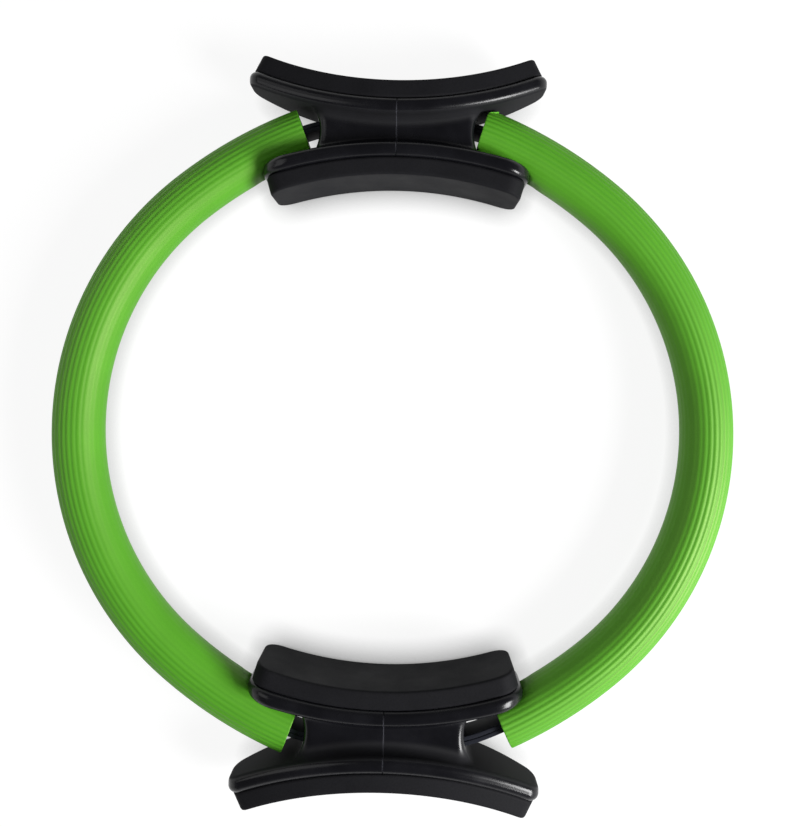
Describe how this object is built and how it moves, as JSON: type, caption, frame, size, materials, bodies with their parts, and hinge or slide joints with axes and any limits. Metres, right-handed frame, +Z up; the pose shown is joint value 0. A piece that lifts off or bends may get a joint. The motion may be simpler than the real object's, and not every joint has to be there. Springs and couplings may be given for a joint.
{
  "type": "pilates ring",
  "caption": "Flexible exercise ring: foam-sleeved spring strips bowed into an oval between waisted, padded handles that are squeezed together.",
  "frame": {"origin": "on the floor under the middle of the ring, which lies flat on the rims of its handles", "axes": "+Z up along the ring's axis, +Y from the near to the far handle, +X to the right"},
  "size_m": [0.3566, 0.3902, 0.0466],
  "materials": {
    "grip_plastic": "glossy moulded",
    "pad_rubber": "matte, fine grain",
    "sleeve_foam": "matte foam with fine ribs",
    "strip_fibreglass": "satin",
    "ferrule_steel": "brushed",
    "rivet_aluminium": "satin",
    "dowel_steel": "ground"
  },
  "bodies": {
    "near_handle": {"near_grip_left_half": "grip_plastic", "near_grip_right_half": "grip_plastic", "near_outer_pad": "pad_rubber", "near_inner_pad": "pad_rubber", "near_strip_ferrule": "ferrule_steel", "near_ferrule_rivets": "rivet_aluminium", "near_grip_dowels": "dowel_steel", "left_outer_spring_strip": "strip_fibreglass", "left_inner_spring_strip": "strip_fibreglass", "right_outer_spring_strip": "strip_fibreglass", "right_inner_spring_strip": "strip_fibreglass", "left_foam_sleeve": "sleeve_foam", "right_foam_sleeve": "sleeve_foam"},
    "far_handle": {"far_grip_left_half": "grip_plastic", "far_grip_right_half": "grip_plastic", "far_outer_pad": "pad_rubber", "far_inner_pad": "pad_rubber", "far_strip_ferrule": "ferrule_steel", "far_ferrule_rivets": "rivet_aluminium", "far_grip_dowels": "dowel_steel"}
  },
  "joints": [
    {"name": "squeeze", "type": "slide", "parent": "near_handle", "child": "far_handle", "axis": [0, -1, 0], "range_m": [0, 0.07], "stiffness_N_per_m": 1900, "deforming": ["left_outer_spring_strip", "left_inner_spring_strip", "right_outer_spring_strip", "right_inner_spring_strip", "left_foam_sleeve", "right_foam_sleeve"]}
  ]
}
